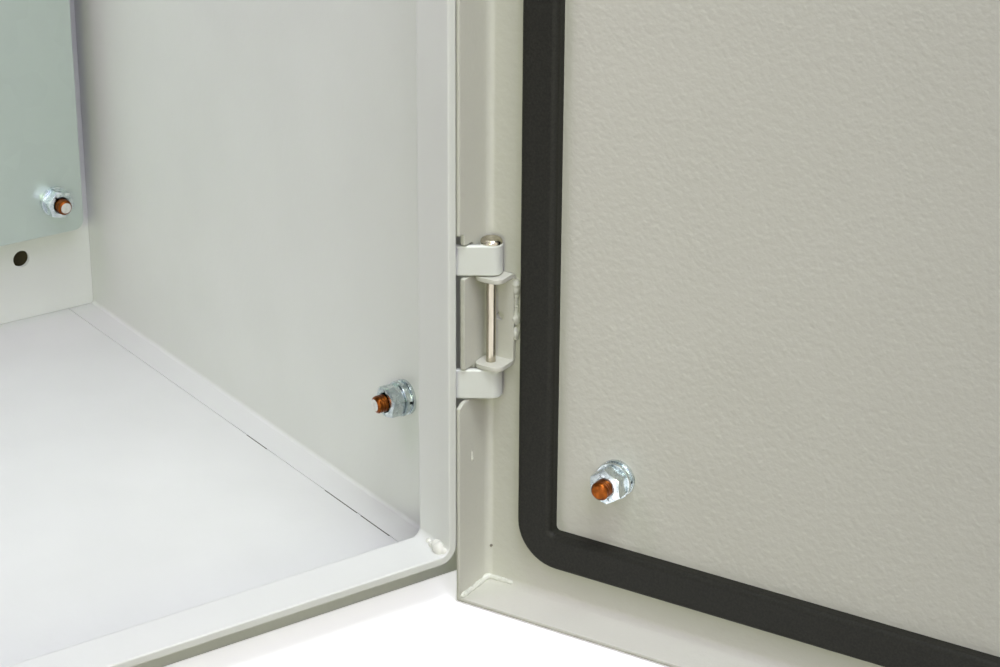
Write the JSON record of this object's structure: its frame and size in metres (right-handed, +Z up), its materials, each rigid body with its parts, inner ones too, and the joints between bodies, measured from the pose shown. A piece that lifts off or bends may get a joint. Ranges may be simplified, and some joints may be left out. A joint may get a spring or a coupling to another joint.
{
  "type": "wall-mounted utility cabinet",
  "caption": "Folded sheet-steel cabinet with a rain gutter and lip round the opening, a hinged tray door with a seal, quarter-turn locks, an inner mounting plate and earth studs.",
  "frame": {"origin": "middle of the flat underside of the body, on its outer face", "axes": "+X to the right of someone who faces the door, +Y to the rear, +Z up"},
  "size_m": [0.6923, 0.7525, 0.6],
  "materials": {
    "grey_powder_coat": "light grey powder coat with a fine orange-peel texture",
    "zinc_plated_steel": "blue-white zinc plate",
    "copper_plated_steel": "bright copper plate",
    "bright_steel": "polished",
    "satin_die_cast": "satin chrome plate",
    "galvanised_sheet": "dull zinc-coated sheet",
    "foamed_gasket": "matt foamed strip",
    "seal_rubber": "matt"
  },
  "bodies": {
    "cabinet": {"body_wrap": "grey_powder_coat", "rear_panel": "grey_powder_coat", "gland_plate": "grey_powder_coat", "gland_seal": "seal_rubber", "gland_studs": "zinc_plated_steel", "gland_nuts": "zinc_plated_steel", "hinge_leaf_lower": "grey_powder_coat", "hinge_leaf_upper": "grey_powder_coat", "hinge_pin_lower": "bright_steel", "hinge_pin_upper": "bright_steel", "mounting_plate": "galvanised_sheet", "plate_studs": "copper_plated_steel", "plate_back_nuts": "zinc_plated_steel", "plate_washers": "zinc_plated_steel", "plate_front_nuts": "zinc_plated_steel", "body_earth_stud": "copper_plated_steel", "body_earth_washers": "zinc_plated_steel", "body_earth_spring_washer": "zinc_plated_steel", "body_earth_nut": "zinc_plated_steel"},
    "door": {"door_panel": "grey_powder_coat", "door_gasket": "foamed_gasket", "hinge_bracket_lower": "grey_powder_coat", "hinge_bracket_upper": "grey_powder_coat", "door_earth_stud": "copper_plated_steel", "door_earth_washers": "zinc_plated_steel", "door_earth_spring_washer": "zinc_plated_steel", "door_earth_nut": "zinc_plated_steel", "lock_housing_lower": "satin_die_cast", "lock_seal_lower": "seal_rubber", "lock_nut_lower": "satin_die_cast", "lock_housing_upper": "satin_die_cast", "lock_seal_upper": "seal_rubber", "lock_nut_upper": "satin_die_cast"},
    "lock_lower": {"lock_spindle_lower": "satin_die_cast", "lock_cam_lower": "zinc_plated_steel", "lock_cam_screw_lower": "zinc_plated_steel"},
    "lock_upper": {"lock_spindle_upper": "satin_die_cast", "lock_cam_upper": "zinc_plated_steel", "lock_cam_screw_upper": "zinc_plated_steel"}
  },
  "joints": [
    {"name": "door_hinge", "type": "hinge", "parent": "cabinet", "child": "door", "pos_m": [0.2442, -0.15485, 0.3], "axis": [0, 0, 1], "range_deg": [-113, 7]},
    {"name": "lock_lower_turn", "type": "hinge", "parent": "door", "child": "lock_lower", "pos_m": [0.41938, -0.55654, 0.15], "axis": [-0.9205, -0.3907, 0], "range_deg": [0, 90]},
    {"name": "lock_upper_turn", "type": "hinge", "parent": "door", "child": "lock_upper", "pos_m": [0.41938, -0.55654, 0.45], "axis": [-0.9205, -0.3907, 0], "range_deg": [0, 90]}
  ]
}
